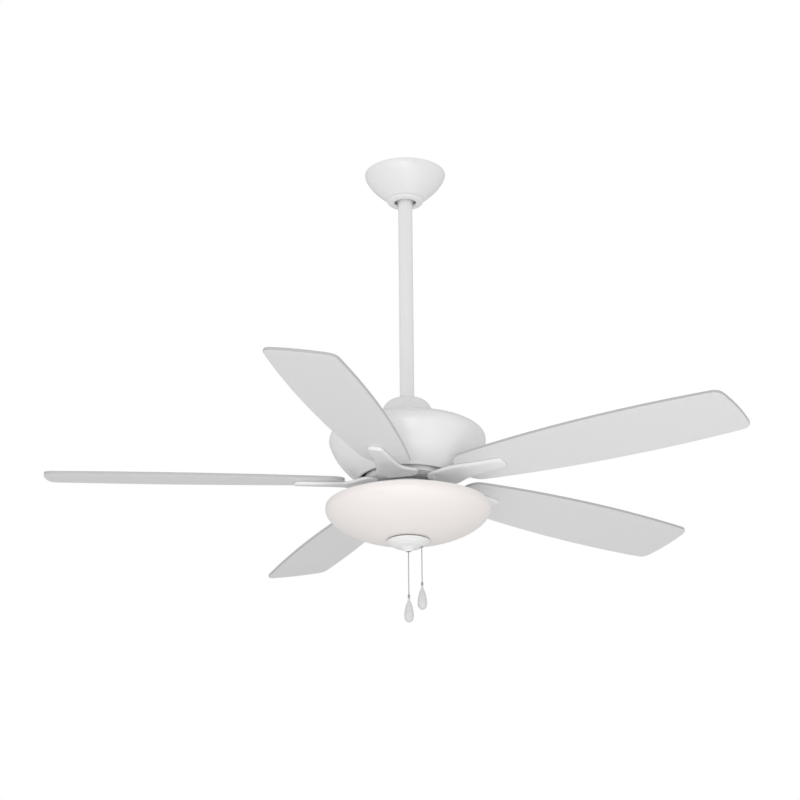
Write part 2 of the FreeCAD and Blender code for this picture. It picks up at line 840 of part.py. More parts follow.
def iron_stations():
    """Radius, width, middle, top and pitch of each section along the arm, from the hub outward."""
    foot_top = rotor_bottom_z - blade_plane_z
    pad_top = -blade_thickness / 2
    pad_middle_r = (iron_neck_r + iron_tip_r) / 2
    pad_middle_width = (iron_neck_width + iron_tip_width) / 2 - 2
    near_line = blade_line(iron_foot_r) * 0.35
    neck_line = blade_line(iron_neck_r)
    return ((iron_foot_r, iron_foot_width, 0.0, foot_top, 0.0),
            (iron_foot_r + 12, iron_foot_width - 4, near_line, foot_top - 0.6, blade_pitch * 0.25),
            (iron_neck_r - 10, iron_neck_width + 5, neck_line * 0.85, pad_top - 0.8, blade_pitch * 0.9),
            (iron_neck_r, iron_neck_width, neck_line, pad_top, blade_pitch),
            (pad_middle_r, pad_middle_width, blade_line(pad_middle_r), pad_top, blade_pitch),
            (iron_tip_r, iron_tip_width, blade_line(iron_tip_r), pad_top, blade_pitch))


def blade_iron():
    """Cast arm: a flat foot under the hub, a neck that twists to the blade's pitch, and a pad."""
    foot_top = rotor_bottom_z - blade_plane_z
    foot = Part.makeLoft([iron_section(iron_inner_r, iron_foot_width - 14, 0, foot_top, 0, iron_depth),
                          iron_section(iron_foot_r, iron_foot_width, 0, foot_top, 0, iron_depth)], True, True)
    arm = Part.makeLoft([iron_section(*station, iron_depth) for station in iron_stations()], True, True)
    body = foot.fuse(arm)
    holes = [rod_between(iron_screw_r + 0.2, -20, 5, iron_screw_circle_r, y)
             for y in (-iron_screw_spread, iron_screw_spread)]
    threads = []
    for hole in blade_screw_holes(blade_thread_r, -blade_thickness / 2 - iron_depth + 2, 5):
        piece = swept(hole)
        piece.rotate(centre, vec(1, 0, 0), -blade_pitch)
        threads.append(piece)
    return cut_all(body, holes + threads)


def placed_iron(shape, index):
    return turned(moved(shape, 0, 0, blade_plane_z), blade_azimuth(index))


def iron_screw_holes():
    """Cutters for the threads in the hub, two to an iron."""
    holes = []
    for i in range(blade_count):
        for y in (-iron_screw_spread, iron_screw_spread):
            hole = rod_between(iron_screw_r, rotor_bottom_z - 1, rotor_bottom_z + 7, iron_screw_circle_r, y)
            holes.append(turned(hole, blade_azimuth(i)))
    return holes


def iron_screws():
    low = rotor_bottom_z - iron_depth
    one = flipped(screw(iron_screw_r - pin_fit, iron_depth + 6.0, 4.2, 2.6))
    screws = []
    for i in range(blade_count):
        for y in (-iron_screw_spread, iron_screw_spread):
            screws.append(turned(moved(one, iron_screw_circle_r, y, low), blade_azimuth(i)))
    return screws


def blade_screws():
    """Screws with wide washer heads, down through the blade into the iron."""
    one = screw(blade_thread_r - pin_fit, blade_thickness + 4.0, 5.0, 2.4)
    screws = []
    for i in range(blade_count):
        for x, y in blade_screw_places:
            screws.append(blade_frame(swept(moved(one, x, y, blade_thickness / 2)), i))
    return screws


# switch housing

def switch_plate():
    """Disc clamped on the shaft, closing the switch cup from above."""
    low = switch_cup_top_z
    disc = rod_between(switch_cup_r, low, low + switch_plate_thickness)
    tab_hole = rod_between(switch_screw_r, low - 1, low + 3, switch_cup_r - 6)
    shaft_hole = rod_between(shaft_r + shaft_play, low - 1, low + 3)
    return cut_all(disc, [shaft_hole] + around(tab_hole, 3, 60))


def shaft_nut():
    """Hexagon nut under the switch plate."""
    nut = hexagon(shaft_nut_across, switch_cup_top_z - shaft_nut_height, shaft_nut_height)
    return nut.cut(rod_between(shaft_r + shaft_play, switch_cup_top_z - 6, switch_cup_top_z + 1))


def switch_cup():
    """Shallow round housing: side wall and floor, open at the top."""
    low = switch_cup_bottom_z
    body = rod_between(switch_cup_r, low, switch_cup_top_z)
    body = body.makeFillet(4.0, low_rim(body, low))
    hollow = rod_between(switch_cup_r - switch_wall, switch_floor_z, switch_cup_top_z + 1)
    hollow = hollow.makeFillet(3.0, low_rim(hollow, switch_floor_z))
    slot = slider_opening(switch_cup_r - 4, switch_cup_r + 2, 2 * slider_way)
    outlets = [rod_between(stem_r + stem_play, low - 2, low + 3),
               rod_between(chain_hole_r, low - 2, low + 3, speed_chain_x)]
    screws = around(rod_between(switch_screw_r, low - 2, low + 3, switch_screw_circle_r), 3, 30)
    return cut_all(body, [hollow, turned(slot, reverse_azimuth)] + outlets + screws)


def slider_opening(x_low, x_high, gap):
    """Slot that the reverse slider runs in, wider than it by gap all round."""
    half_y = slider_travel + slider_length / 2 + gap
    half_z = slider_neck / 2 + gap
    return box_between(vec(x_low, -half_y, slider_z - half_z), vec(x_high, half_y, slider_z + half_z))


def reverse_switch():
    """Slide switch body behind the cup's wall."""
    x = switch_cup_r - switch_wall - 3.5
    body = box_between(vec(x - 8, -9, slider_z - 5), vec(x, 9, slider_z + 5))
    way = slider_opening(x - 3, x + 1, slider_way)
    return turned(body.cut(way), reverse_azimuth)


def reverse_slider():
    x = switch_cup_r - switch_wall - 3.5
    y = -slider_travel
    knob = box_between(vec(x - 2, y - slider_length / 2, slider_z - slider_neck / 2),
                       vec(switch_cup_r + 2.5, y + slider_length / 2, slider_z + slider_neck / 2))
    knob = knob.makeFillet(0.6, [e for e in knob.Edges if e.BoundBox.XMin > switch_cup_r])
    return turned(knob, reverse_azimuth)


def capacitor():
    block = box_between(vec(-46, -16, switch_floor_z), vec(-24, 16, switch_floor_z + 17))
    return block.makeFillet(3.0, block.Edges)


def pull_switch(x, low, radius):
    """Round pull-chain switch with an outlet bore underneath for its chain."""
    can = rod_between(radius, low, low + pull_switch_height, x)
    can = can.makeFillet(1.0, can.Edges)
    bore = rod_between(chain_r + 0.9, low - 1, low + pull_switch_height - 2, x)
    return can.cut(bore)


def speed_switch():
    return pull_switch(speed_chain_x, switch_floor_z, speed_switch_r)


def light_switch():
    """Sits on the stem's mouth, so that its chain runs down inside the stem."""
    return pull_switch(0.0, light_switch_z, light_switch_r)


# light kit

def pan_profile():
    shoulder = pan_top_z - pan_slope
    return [(pan_flat_r, pan_top_z),
            ((pan_flat_r + pan_r) / 2, pan_top_z - pan_slope * 0.45),
            (pan_r - 8, shoulder),
            (pan_r - 3, shoulder - 1.4),
            (pan_r, shoulder - 5),
            (pan_r, pan_skirt_z)]


def light_pan():
    """Fitter pan: flat middle screwed under the switch cup, shallow slope and a short skirt."""
    rim = spun_wall(pan_profile(), -pan_wall)
    flat = tube_between(pan_flat_r, stem_r + stem_play, pan_top_z - pan_wall, pan_top_z)
    holes = [rod_between(chain_hole_r, pan_top_z - 3, pan_top_z + 3, speed_chain_x)]
    holes += around(rod_between(switch_screw_r, pan_top_z - 3, pan_top_z + 3, switch_screw_circle_r), 3, 30)
    vent = box_between(vec(pan_flat_r + 28, -6, pan_top_z - 8), vec(pan_flat_r + 33, 6, pan_top_z + 2))
    vents = around(vent, 12, 15)
    return cut_all(rim.fuse(flat), holes + vents)


def pan_screws():
    one = flipped(screw(switch_screw_r - shaft_play, 4.5, 3.0, 1.8))
    return around(moved(one, switch_screw_circle_r, 0, pan_top_z - pan_wall), 3, 30)


def hexagon(across, z_low, height):
    """Six-sided prism, measured over its corners."""
    step = math.radians(60)
    corners = [vec(across / 2 * math.cos(i * step), across / 2 * math.sin(i * step), z_low) for i in range(7)]
    return Part.Face(Part.makePolygon(corners)).extrude(vec(0, 0, height))


def centre_stem():
    """Hollow threaded stem that the light chain runs down inside, with its two lock nuts."""
    nuts = [hexagon(stem_nut_across, switch_floor_z, stem_nut),
            hexagon(stem_nut_across, pan_top_z - pan_wall - stem_nut, stem_nut)]
    body = fuse([rod_between(stem_r, cap_floor_z, stem_top_z)] + nuts)
    return body.cut(rod_between(stem_bore_r, cap_floor_z - 1, stem_top_z + 1))


def bowl_profile():
    """Glass from the hole's edge out over the round bottom and up the steep side to the rim."""
    points = []
    steps = 11
    depth = (bowl_rim_z - bowl_straight) - bowl_bottom_z
    start = math.asin((bowl_hole_r / bowl_r) ** (bowl_fullness / 2))
    for i in range(steps):
        a = start + (math.pi / 2 - start) * i / (steps - 1)
        radius = bowl_r * math.sin(a) ** (2 / bowl_fullness)
        height = bowl_rim_z - bowl_straight - depth * math.cos(a) ** (2 / bowl_fullness)
        points.append((radius, height))
    points.append((bowl_r - 0.3, bowl_rim_z - bowl_straight / 2))
    points.append((bowl_r - 1.0, bowl_rim_z))
    return points


def glass_bowl():
    return spun_wall(bowl_profile(), bowl_wall)


cap_rim_z = bowl_profile()[0][1] - gasket_thickness


def bowl_gasket():
    return tube_between(bowl_hole_r + 5.5, bowl_hole_r - 2.0, cap_rim_z, cap_rim_z + gasket_thickness)


def cap_profile():
    """Stepped cap under the bowl, from its rim in to the small boss at the bottom."""
    depth = cap_rim_z - cap_bottom_z
    shares = ((1.0, -0.02), (1.0, 0.1), (0.94, 0.22), (0.80, 0.38), (0.62, 0.52), (0.44, 0.62), (0.34, 0.68))
    return [(cap_r * r, cap_rim_z - depth * z) for r, z in shares]


def finial_cap():
    outer = cap_profile()
    dome = spun_wall(outer, -cap_wall)
    base = outer[-1]
    bore_r = stem_bore_r - 0.4
    floor = tube_between(base[0] + 0.3, bore_r, base[1] - 0.2, base[1] + cap_wall)
    boss = spun([(bore_r, cap_bottom_z),
                 (5.0, cap_bottom_z),
                 (7.5, cap_bottom_z + 1.5),
                 (8.6, cap_bottom_z + 4),
                 (11.5, base[1]),
                 (bore_r, base[1])])
    body = fuse([dome, floor, boss])
    outlet = rod_between(chain_r + 1.6, cap_bottom_z - 5, cap_rim_z, speed_chain_x)
    seat = rod_between(stem_r + shaft_play, cap_floor_z, cap_rim_z)
    return cut_all(body, [outlet, seat])


def lamp_solid(profile, x, way):
    """Turned piece laid along Y, pointing to way, its base at the strap."""
    solid = spun(profile)
    solid.rotate(centre, vec(1, 0, 0), -90 * way)
    return moved(solid, x, lamp_base_y * way, lamp_axis_z)


def lamp_sockets():
    """Two porcelain holders, side by side and facing opposite ways."""
    mouth_r = socket_r - socket_wall
    profile = [(0, 0), (socket_r, 0), (socket_r, socket_length), (mouth_r, socket_length), (mouth_r, 14),
               (0, 14)]
    return [lamp_solid(profile, x, way) for x, way in lamp_places]


def socket_brackets():
    """Bent straps that hold the sockets under the pan."""
    half = strap_width / 2
    top = pan_top_z - pan_wall - pan_slope
    upright = box_between(vec(-half, lamp_base_y - strap_thickness, lamp_axis_z - half),
                          vec(half, lamp_base_y, top))
    foot = box_between(vec(-half, lamp_base_y - strap_foot, top - strap_thickness),
                       vec(half, lamp_base_y, top))
    strap = upright.fuse(foot).removeSplitter()
    return [moved(turned(strap, 0 if way > 0 else 180), x, 0, 0) for x, way in lamp_places]


def lamps():
    """Globe lamps with their screw bases in the sockets."""
    profile = [(0, 15), (12, 15), (13, 36), (15, 42), (21, 56), (lamp_r, 70), (lamp_r - 2, 82),
               (lamp_r - 9, 92), (0, 96)]
    return [lamp_solid(profile, x, way) for x, way in lamp_places]


# pull chains

def fob(x, top):
    """Turned teardrop with its widest ring low down and a small flat underneath."""
    shares = ((0.0, 0.14), (0.06, 0.26), (0.2, 0.5), (0.4, 0.78), (0.62, 0.97), (0.78, 1.0), (0.9, 0.84),
              (0.97, 0.52), (1.0, 0.2))
    points = [(fob_r * w, top - fob_length * h) for h, w in shares]
    low = points[-1][1]
    edges = [curve_edge(points),
             line_edge(points[-1], (0, low)),
             line_edge((0, low), (0, top)),
             line_edge((0, top), points[0])]
    solid = Part.Face(Part.Wire(edges)).revolve(centre, up, 360)
    return moved(solid, x, 0, 0)


def ferrule(x, top):
    """Small bell that joins the chain's last bead to the fob."""
    bell = spun([(0, 0), (2.3, 0), (2.3, 4.5), (1.6, ferrule_height - 0.4), (chain_r, ferrule_height),
                 (0, ferrule_height)])
    return moved(bell, x, 0, top)


def chain(x, fob_top, exit_z):
    """Free run of the chain, with its top bead centred on the point it swings about."""
    run = rod_between(chain_r, fob_top + ferrule_height, exit_z, x)
    return run.fuse(Part.makeSphere(chain_r, vec(x, 0, exit_z))).removeSplitter()


light_exit_z = cap_bottom_z
speed_exit_z = cap_rim_z - (cap_rim_z - cap_bottom_z) * 0.55
light_fob_top = cap_bottom_z - light_fob_drop
speed_fob_top = cap_bottom_z - speed_fob_drop


def chain_upper(x, exit_z, switch_low):
    """Upper run of the chain, from inside its switch down to the swinging run's top bead."""
    return rod_between(chain_r, exit_z + chain_r + chain_gap, switch_low + 6.0, x)


def main():
    save("hanger_bracket", hanger_bracket())
    save("canopy", canopy())
    save("canopy_ring", canopy_ring())
    save("mount_screws", canopy_screws() + [ground_screw()])
    save("wire_splices", splice_connectors() + supply_wires())
    save("hanger_ball", hanger_ball())
    save("cross_pin", cross_pin())
    save("downrod", downrod())
    save("motor_coupler", motor_coupler())
    save("set_screws", yoke_set_screws() + [ball_set_screw()])
    save("clevis_pin", clevis_pin())
    save("pin_clip", pin_clip())
    save("coupling_cover", coupling_cover())
    save("motor_housing", motor_housing())
    save("backing_plate", backing_plate())
    save("hanger_screws", hanger_screws())
    save("motor_shaft", motor_shaft())
    save("motor_bearings", [ball_bearing(upper_bearing_z), ball_bearing(lower_bearing_z)])
    save("stator_core", stator_core())
    save("stator_windings", stator_windings())
    save("rotor_ring", rotor_ring())
    save("rotor_upper_case", rotor_upper_case())
    save("rotor_lower_case", rotor_lower_case())
    save("case_screws", case_screws())
    board = blade()
    arm = blade_iron()
    for i in range(blade_count):
        save("blade_" + str(i + 1), blade_frame(board, i))
        save("blade_iron_" + str(i + 1), placed_iron(arm, i))
    save("iron_screws", iron_screws())
    save("blade_screws", blade_screws())
    save("switch_plate", switch_plate())
    save("shaft_nut", shaft_nut())
    save("switch_cup", switch_cup())
    save("reverse_switch", reverse_switch())
    save("reverse_slider", reverse_slider())
    save("capacitor", capacitor())
    save("speed_switch", speed_switch())
    save("light_switch", light_switch())
    save("light_pan", light_pan())
    save("pan_screws", pan_screws())
    save("centre_stem", centre_stem())
    save("lamp_holders", lamp_sockets() + socket_brackets())
    save("lamps", lamps())
    save("glass_bowl", glass_bowl())
    save("bowl_gasket", bowl_gasket())
    save("finial_cap", finial_cap())
    save("light_chain_upper", chain_upper(0.0, light_exit_z, light_switch_z))
    save("light_chain", chain(0.0, light_fob_top, light_exit_z))
    save("light_chain_ferrule", ferrule(0.0, light_fob_top))
    save("light_fob", fob(0.0, light_fob_top))
    save("speed_chain_upper", chain_upper(speed_chain_x, speed_exit_z, switch_floor_z))
    save("speed_chain", chain(speed_chain_x, speed_fob_top, speed_exit_z))
    save("speed_chain_ferrule", ferrule(speed_chain_x, speed_fob_top))
    save("speed_fob", fob(speed_chain_x, speed_fob_top))


main()
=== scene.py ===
import bpy
import bmesh
import json
import math
from mathutils import Matrix, Vector


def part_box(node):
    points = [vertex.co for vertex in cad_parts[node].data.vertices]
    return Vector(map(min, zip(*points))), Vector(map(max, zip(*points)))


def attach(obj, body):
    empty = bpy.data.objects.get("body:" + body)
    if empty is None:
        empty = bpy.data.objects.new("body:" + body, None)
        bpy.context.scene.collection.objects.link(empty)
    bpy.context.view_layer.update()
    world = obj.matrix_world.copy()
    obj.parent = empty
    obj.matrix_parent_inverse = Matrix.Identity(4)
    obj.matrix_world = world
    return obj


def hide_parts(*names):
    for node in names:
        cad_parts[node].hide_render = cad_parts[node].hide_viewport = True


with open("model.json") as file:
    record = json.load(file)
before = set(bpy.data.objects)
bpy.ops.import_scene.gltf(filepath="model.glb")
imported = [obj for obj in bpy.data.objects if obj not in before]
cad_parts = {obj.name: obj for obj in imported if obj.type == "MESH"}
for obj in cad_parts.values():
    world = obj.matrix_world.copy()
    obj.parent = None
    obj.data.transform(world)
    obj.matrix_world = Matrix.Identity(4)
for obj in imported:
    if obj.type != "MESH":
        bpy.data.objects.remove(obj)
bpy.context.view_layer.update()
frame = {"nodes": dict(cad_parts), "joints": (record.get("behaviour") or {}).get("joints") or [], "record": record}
nodes = frame["nodes"]
joints = {j["name"]: j for j in frame["joints"]}
mm = 0.001


def hexColour(code):  # sRGB hex to the linear values that Blender's sockets take
    parts = [int(code[i:i + 2], 16) / 255 for i in (1, 3, 5)]
    return tuple(c / 12.92 if c <= 0.04045 else ((c + 0.055) / 1.055) ** 2.4 for c in parts) + (1.0,)


def addNode(tree, kind, inputs=None, **settings):  # a node with its settings, values and links
    node = tree.nodes.new(kind)
    for name, value in settings.items():
        setattr(node, name, value)
    for socket, value in (inputs or {}).items():
        if isinstance(value, bpy.types.NodeSocket):
            tree.links.new(value, node.inputs[socket])
        else:
            node.inputs[socket].default_value = value
    return node


def newMaterial(name):
    material = bpy.data.materials.new(name)
    material.use_nodes = True
    tree = material.node_tree
    tree.nodes.clear()
    return material, tree


def paintedMetal(name, light, dark, roughness, peel=1.6 * mm):
    # baked powder coat on steel: satin, with a shallow orange peel that softens each highlight
    material, tree = newMaterial(name)
    place = addNode(tree, "ShaderNodeTexCoord")
    wide = addNode(tree, "ShaderNodeTexNoise", {"Vector": place.outputs["Object"], "Scale": 1 / (45 * mm)})
    fine = addNode(tree, "ShaderNodeTexNoise", {"Vector": place.outputs["Object"], "Scale": 1 / peel,
                                                "Detail": 1.0})
    colour = addNode(tree, "ShaderNodeMix", {"Factor": wide.outputs[0], 6: hexColour(light),
                                             7: hexColour(dark)}, data_type="RGBA")
    gloss = addNode(tree, "ShaderNodeMapRange", {"Value": fine.outputs[0], "From Min": 0.3, "From Max": 0.7,
                                                "To Min": roughness - 0.04, "To Max": roughness + 0.05})
    relief = addNode(tree, "ShaderNodeBump", {"Height": fine.outputs[0], "Distance": 0.012 * mm})
    shader = addNode(tree, "ShaderNodeBsdfPrincipled", {
        "Base Color": colour.outputs[2], "Roughness": gloss.outputs[0], "Normal": relief.outputs[0],
        "Coat Weight": 0.7, "Coat Roughness": 0.14, "IOR": 1.5})
    addNode(tree, "ShaderNodeOutputMaterial", {"Surface": shader.outputs[0]})
    return material


def laminateBoard():
    # melamine foil on fibreboard: a plain white face, barely grained along its length, with grey painted shade on
    # its thin edges
    material, tree = newMaterial("melamineBoard")
    place = addNode(tree, "ShaderNodeTexCoord")
    along = addNode(tree, "ShaderNodeMapping", {"Vector": place.outputs["UV"], "Scale": (9.0, 190.0, 1.0)})
    grain = addNode(tree, "ShaderNodeTexNoise", {"Vector": along.outputs[0], "Scale": 1.0, "Detail": 3.0})
    peel = addNode(tree, "ShaderNodeTexNoise", {"Vector": place.outputs["Object"], "Scale": 1 / (2.2 * mm)})
    face = addNode(tree, "ShaderNodeMix", {"Factor": grain.outputs[0], 6: hexColour("#ECECEC"),
                                           7: hexColour("#EAEAEA")}, data_type="RGBA")
    # painted shade: the board's thin side walls, flagged by this attribute, are mixed to a darker grey
    edge = addNode(tree, "ShaderNodeAttribute", attribute_name="paintedEdgeShade")
    colour = addNode(tree, "ShaderNodeMix", {"Factor": edge.outputs["Fac"], 6: face.outputs[2],
                                             7: hexColour("#C6C6C6")}, data_type="RGBA")
    gloss = addNode(tree, "ShaderNodeMapRange", {"Value": peel.outputs[0], "From Min": 0.3, "From Max": 0.7,
                                                "To Min": 0.38, "To Max": 0.46})
    relief = addNode(tree, "ShaderNodeBump", {"Height": grain.outputs[0], "Distance": 0.003 * mm})
    shader = addNode(tree, "ShaderNodeBsdfPrincipled", {
        "Base Color": colour.outputs[2], "Roughness": gloss.outputs[0], "Normal": relief.outputs[0],
        "IOR": 1.5})
    addNode(tree, "ShaderNodeOutputMaterial", {"Surface": shader.outputs[0]})
    return material


def opalGlass():
    # opal glass, acid etched outside: an even warm milk white with a soft satin sheen
    material, tree = newMaterial("opalGlass")
    place = addNode(tree, "ShaderNodeTexCoord")
    cloud = addNode(tree, "ShaderNodeTexNoise", {"Vector": place.outputs["Object"], "Scale": 1 / (60 * mm)})
    etch = addNode(tree, "ShaderNodeTexNoise", {"Vector": place.outputs["Object"], "Scale": 1 / (0.9 * mm)})
    colour = addNode(tree, "ShaderNodeMix", {"Factor": cloud.outputs[0], 6: hexColour("#FBF5F3"),
                                             7: hexColour("#F9F3F0")}, data_type="RGBA")
    gloss = addNode(tree, "ShaderNodeMapRange", {"Value": etch.outputs[0], "From Min": 0.3, "From Max": 0.7,
                                                "To Min": 0.3, "To Max": 0.38})
    relief = addNode(tree, "ShaderNodeBump", {"Height": etch.outputs[0], "Distance": 0.005 * mm})
    shader = addNode(tree, "ShaderNodeBsdfPrincipled", {
        "Base Color": colour.outputs[2], "Roughness": gloss.outputs[0], "Normal": relief.outputs[0],
        "Coat Weight": 0.1, "Coat Roughness": 0.3, "IOR": 1.52})
    addNode(tree, "ShaderNodeOutputMaterial", {"Surface": shader.outputs[0]})
    return material


def plainMetal(name, light, dark, roughness, scratch=0.6 * mm):
    # drawn or plated metal: tiny streaks and handling marks break up the reflection
    material, tree = newMaterial(name)
    place = addNode(tree, "ShaderNodeTexCoord")
    marks = addNode(tree, "ShaderNodeTexNoise", {"Vector": place.outputs["Object"], "Scale": 1 / scratch,
                                                 "Detail": 3.0})
    colour = addNode(tree, "ShaderNodeMix", {"Factor": marks.outputs[0], 6: hexColour(light),
                                             7: hexColour(dark)}, data_type="RGBA")
    gloss = addNode(tree, "ShaderNodeMapRange", {"Value": marks.outputs[0], "From Min": 0.3, "From Max": 0.7,
                                                "To Min": roughness - 0.06, "To Max": roughness + 0.08})
    relief = addNode(tree, "ShaderNodeBump", {"Height": marks.outputs[0], "Distance": 0.006 * mm})
    shader = addNode(tree, "ShaderNodeBsdfPrincipled", {
        "Base Color": colour.outputs[2], "Roughness": gloss.outputs[0], "Normal": relief.outputs[0],
        "Metallic": 1.0})
    addNode(tree, "ShaderNodeOutputMaterial", {"Surface": shader.outputs[0]})
    return material


def mouldedPlastic(name, light, dark, roughness, glow=0.0):
    # moulded plastic: even colour with a fine spark texture; glow is how far light sinks in
    material, tree = newMaterial(name)
    place = addNode(tree, "ShaderNodeTexCoord")
    spark = addNode(tree, "ShaderNodeTexNoise", {"Vector": place.outputs["Object"], "Scale": 1 / (0.5 * mm)})
    cloud = addNode(tree, "ShaderNodeTexNoise", {"Vector": place.outputs["Object"], "Scale": 1 / (9 * mm)})
    colour = addNode(tree, "ShaderNodeMix", {"Factor": cloud.outputs[0], 6: hexColour(light),
                                             7: hexColour(dark)}, data_type="RGBA")
    gloss = addNode(tree, "ShaderNodeMapRange", {"Value": spark.outputs[0], "From Min": 0.3, "From Max": 0.7,
                                                "To Min": roughness - 0.04, "To Max": roughness + 0.06})
    relief = addNode(tree, "ShaderNodeBump", {"Height": spark.outputs[0], "Distance": 0.01 * mm})
    shader = addNode(tree, "ShaderNodeBsdfPrincipled", {
        "Base Color": colour.outputs[2], "Roughness": gloss.outputs[0], "Normal": relief.outputs[0],
        "Subsurface Weight": glow, "Subsurface Scale": 0.003, "IOR": 1.49})
    addNode(tree, "ShaderNodeOutputMaterial", {"Surface": shader.outputs[0]})
    return material


materials = {
    "white_paint": paintedMetal("whitePowderCoat", "#F7F7F7", "#F5F5F5", 0.34),
    "blade_board": laminateBoard(),
    "zinc_steel": plainMetal("zincPlatedSteel", "#C9CCCE", "#B4B8BA", 0.34),
    "white_screw": paintedMetal("paintedScrewHeads", "#EAEAEA", "#E2E2E2", 0.4, 0.8 * mm),
    "turned_steel": plainMetal("groundSteel", "#B9BBBD", "#A2A5A8", 0.25),
    "lamination": plainMetal("siliconSteelStack", "#77797C", "#5F6164", 0.45),
    "copper_wire": plainMetal("enamelledCopper", "#B9683A", "#9A4F28", 0.3),
    "pan_steel": paintedMetal("coatedPanSteel", "#F0F0F0", "#ECECEC", 0.42),
    "black_plastic": mouldedPlastic("blackPhenolic", "#1D1D1E", "#161617", 0.5),
    "wire_plastic": mouldedPlastic("wireConnectorPlastic", "#D98A2B", "#C67A20", 0.45),
    "ball_plastic": mouldedPlastic("whiteAcetal", "#F0F0F0", "#EAEAEA", 0.38),
    "opal_glass": opalGlass(),
    "clear_gasket": mouldedPlastic("siliconeRubber", "#E4E4E2", "#DADAD8", 0.6, 0.2),
    "lamp_glass": mouldedPlastic("frostedLampGlobe", "#F7F5F0", "#F2EFE8", 0.4, 0.3),
    "socket_white": mouldedPlastic("glazedPorcelain", "#F3F1EA", "#EDEAE1", 0.2),
    "chain_nickel": plainMetal("nickelPlate", "#BDBDBA", "#A5A5A2", 0.3),
    "fob_white": mouldedPlastic("pearlPlastic", "#E2E2E2", "#DADADA", 0.3),
}
for part in frame["record"]["subparts"]:
    piece = nodes[part["node"]]
    piece.data.materials.clear()
    piece.data.materials.append(materials[part["material_slot"]])
print("materials on the frame")


def vertexRun(bm, points):  # joins points with edges, ready for a spin
    verts = [bm.verts.new(p) for p in points]
    return verts + [bm.edges.new(pair) for pair in zip(verts, verts[1:])]


def spinRun(bm, outline, x=0.0, steps=64):  # turns (radius, height) pairs into a shell round the Z axis
    run = vertexRun(bm, [(r, 0, z) for r, z in outline])
    bmesh.ops.spin(bm, geom=run, cent=(0, 0, 0), axis=(0, 0, 1), angle=2 * math.pi, steps=steps,
                   use_merge=True)
    bmesh.ops.remove_doubles(bm, verts=bm.verts, dist=1e-6)
    bmesh.ops.recalc_face_normals(bm, faces=bm.faces)
    widest = max(bm.faces, key=lambda f: f.calc_center_median().xy.length)
    if widest.normal.xy.dot(widest.calc_center_median().xy) < 0:
        bmesh.ops.reverse_faces(bm, faces=bm.faces)
    bmesh.ops.translate(bm, verts=bm.verts, vec=(x, 0, 0))


def finishPiece(name, bm, material, body, replaced=(), wall=0.0, levels=1):
    mesh = bpy.data.meshes.new(name)
    bm.to_mesh(mesh)
    bm.free()
    mesh.shade_smooth()
    piece = bpy.data.objects.new(name, mesh)
    bpy.context.scene.collection.objects.link(piece)
    mesh.materials.append(materials[material])
    if wall:
        thicken = piece.modifiers.new("wall", "SOLIDIFY")
        thicken.thickness = wall
        thicken.offset = -1
        thicken.use_even_offset = True
    if levels:
        subdivide = piece.modifiers.new("smooth", "SUBSURF")
        subdivide.levels = subdivide.render_levels = levels
    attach(piece, body)
    if replaced:
        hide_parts(*replaced)
    return piece


canopySettings = {
    "neck": 33.0 * mm,
    "flare": 1.6,
    "wall": 1.2 * mm,
    "rings": 14,
    "rimRoll": 1.0 * mm,
    "seat": 22.5 * mm,
}


def makeCanopy():
    s = canopySettings
    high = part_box("canopy")[1]
    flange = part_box("canopy_ring")[1].z
    height = high.z - flange - s["wall"]
    outline = [(high.x - s["rimRoll"], high.z), (high.x - 0.2 * mm, high.z - 0.25 * mm)]
    for i in range(s["rings"]):
        t = 0.02 + 0.98 * i / (s["rings"] - 1)
        outline.append((high.x - (high.x - s["neck"]) * t ** s["flare"], high.z - height * t))
    outline += [(s["neck"] - 0.5 * mm, flange + 0.3 * mm), (s["neck"] - 2 * mm, flange), (s["seat"], flange)]
    bm = bmesh.new()
    spinRun(bm, outline)
    finishPiece("canopyBell", bm, "white_paint", "ceiling", ["canopy"], wall=s["wall"])


ringSettings = {"hole": 20.5 * mm, "lip": 1.6 * mm, "channel": 2.2 * mm}


def makeCanopyRing():
    s = ringSettings
    low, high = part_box("canopy_ring")
    height = high.z - low.z
    inner = s["hole"] + 2.0 * mm
    outline = [(inner, high.z), (s["hole"] + 0.4 * mm, high.z - 0.4 * mm), (s["hole"], high.z - 1.4 * mm),
               (s["hole"], low.z + 1.2 * mm), (s["hole"] + 0.8 * mm, low.z + 0.2 * mm),
               (s["hole"] + 2.4 * mm, low.z), (high.x - 7 * mm, low.z),
               (high.x - 4 * mm, low.z + 0.5 * mm), (high.x - 1.6 * mm, low.z + 2.0 * mm),
               (high.x - 0.3 * mm, low.z + 3.8 * mm), (high.x, high.z - 1.0 * mm),
               (high.x - 0.2 * mm, high.z - 0.2 * mm), (high.x - 1.2 * mm, high.z),
               (high.x - 2.0 * mm, high.z - 0.6 * mm), (high.x - 3.2 * mm, low.z + height * 0.5),
               (inner + 1.0 * mm, low.z + height * 0.45), (inner, high.z - 1.0 * mm), (inner, high.z)]
    bm = bmesh.new()
    spinRun(bm, outline)
    finishPiece("canopyTrimRing", bm, "white_paint", "ceiling", ["canopy_ring"])


rodSettings = {"radius": 13.335 * mm, "wall": 2.87 * mm, "chamfer": 0.5 * mm, "rings": 8}


